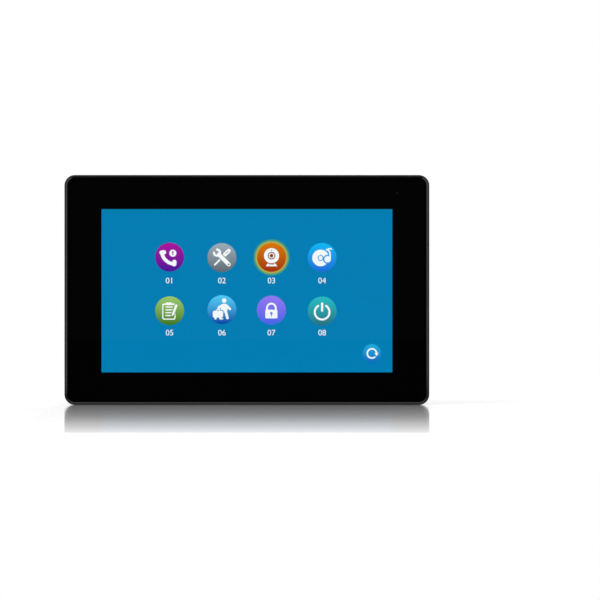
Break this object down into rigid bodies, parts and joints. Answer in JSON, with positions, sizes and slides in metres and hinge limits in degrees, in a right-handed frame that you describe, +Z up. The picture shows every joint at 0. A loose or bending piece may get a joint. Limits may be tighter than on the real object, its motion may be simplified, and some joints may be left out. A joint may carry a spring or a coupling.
{
  "type": "video intercom monitor",
  "caption": "Thin wall-hung video intercom monitor: black touch glass over a wide display in a two-part housing that lifts off a steel hook bracket.",
  "frame": {"origin": "centre of the bracket's screw pattern, on the plane of the wall", "axes": "+X to the right as seen by a person who looks at the screen, +Y into the wall, +Z up"},
  "size_m": [0.1924, 0.019, 0.1212],
  "materials": {
    "zinc_steel": "zinc-plated pressed sheet steel",
    "housing_plastic": "fine spark texture, black ABS",
    "frame_plastic": "satin black ABS",
    "black_screws": "black oxide steel",
    "cover_glass": "clear, polished, ground edge",
    "black_tape": "double-sided foam tape",
    "sensor_glass": "clear",
    "flex_film": "polyimide film",
    "grey_foam": "soft foam",
    "sheet_steel": "tinned sheet steel",
    "lcd_glass": "lit picture behind a smooth polariser",
    "white_film": "white polyester film",
    "clear_acrylic": "clear acrylic with printed dots",
    "led_white": "white strip with yellow phosphor",
    "bright_screws": "nickel-plated steel",
    "board_green": "green solder mask on glass laminate",
    "chip_black": "moulded epoxy",
    "ferrite": "pressed ferrite",
    "can_aluminium": "drawn can",
    "ivory_plastic": "natural nylon",
    "pin_brass": "plated square pin",
    "knob_plastic": "moulded black",
    "black_rubber": "moulded rubber",
    "wire_pvc": "insulated wire",
    "dark_steel": "black plated steel",
    "cone_paper": "black paper cone",
    "magnet_steel": "nickel-plated magnet"
  },
  "bodies": {
    "wall_bracket": {"wall_bracket": "zinc_steel"},
    "monitor": {"rear_cover": "housing_plastic", "housing_screws": "black_screws", "front_frame": "frame_plastic", "cover_glass": "cover_glass", "glass_tape": "black_tape", "touch_sensor": "sensor_glass", "touch_flex": "flex_film", "lcd_gasket": "grey_foam", "lcd_bezel": "sheet_steel", "lcd_cell": "lcd_glass", "optical_films": "white_film", "light_guide": "clear_acrylic", "reflector_sheet": "white_film", "backlight_leds": "led_white", "backlight_tray": "sheet_steel", "lcd_flex": "flex_film", "lcd_clips": "sheet_steel", "clip_screws": "bright_screws", "main_board": "board_green", "board_screws": "bright_screws", "processor": "chip_black", "memory_chips": "chip_black", "board_chips": "chip_black", "power_inductors": "ferrite", "capacitors": "can_aluminium", "flex_connectors": "ivory_plastic", "lead_headers": "ivory_plastic", "wire_sockets": "ivory_plastic", "power_socket": "ivory_plastic", "socket_pins": "pin_brass", "card_socket": "sheet_steel", "power_switch_body": "sheet_steel", "reset_switch_body": "sheet_steel", "microphone": "can_aluminium", "microphone_boot": "black_rubber", "microphone_lead": "wire_pvc", "speaker_gasket": "grey_foam", "speaker_frame": "dark_steel", "speaker_cone": "cone_paper", "speaker_magnet": "magnet_steel", "speaker_screws": "bright_screws", "speaker_lead": "wire_pvc"},
    "power_switch": {"power_switch_knob": "knob_plastic"},
    "reset_button": {"reset_plunger": "ivory_plastic"}
  },
  "joints": [
    {"name": "monitor_lift", "type": "slide", "parent": "wall_bracket", "child": "monitor", "axis": [0, 0, 1], "range_m": [0, 0.008]},
    {"name": "power_switch_slide", "type": "slide", "parent": "monitor", "child": "power_switch", "axis": [0, 0, 1], "range_m": [0, 0.002]},
    {"name": "reset_press", "type": "slide", "parent": "monitor", "child": "reset_button", "axis": [-1, 0, 0], "range_m": [0, 0.00025], "stiffness_N_per_m": 6400}
  ]
}
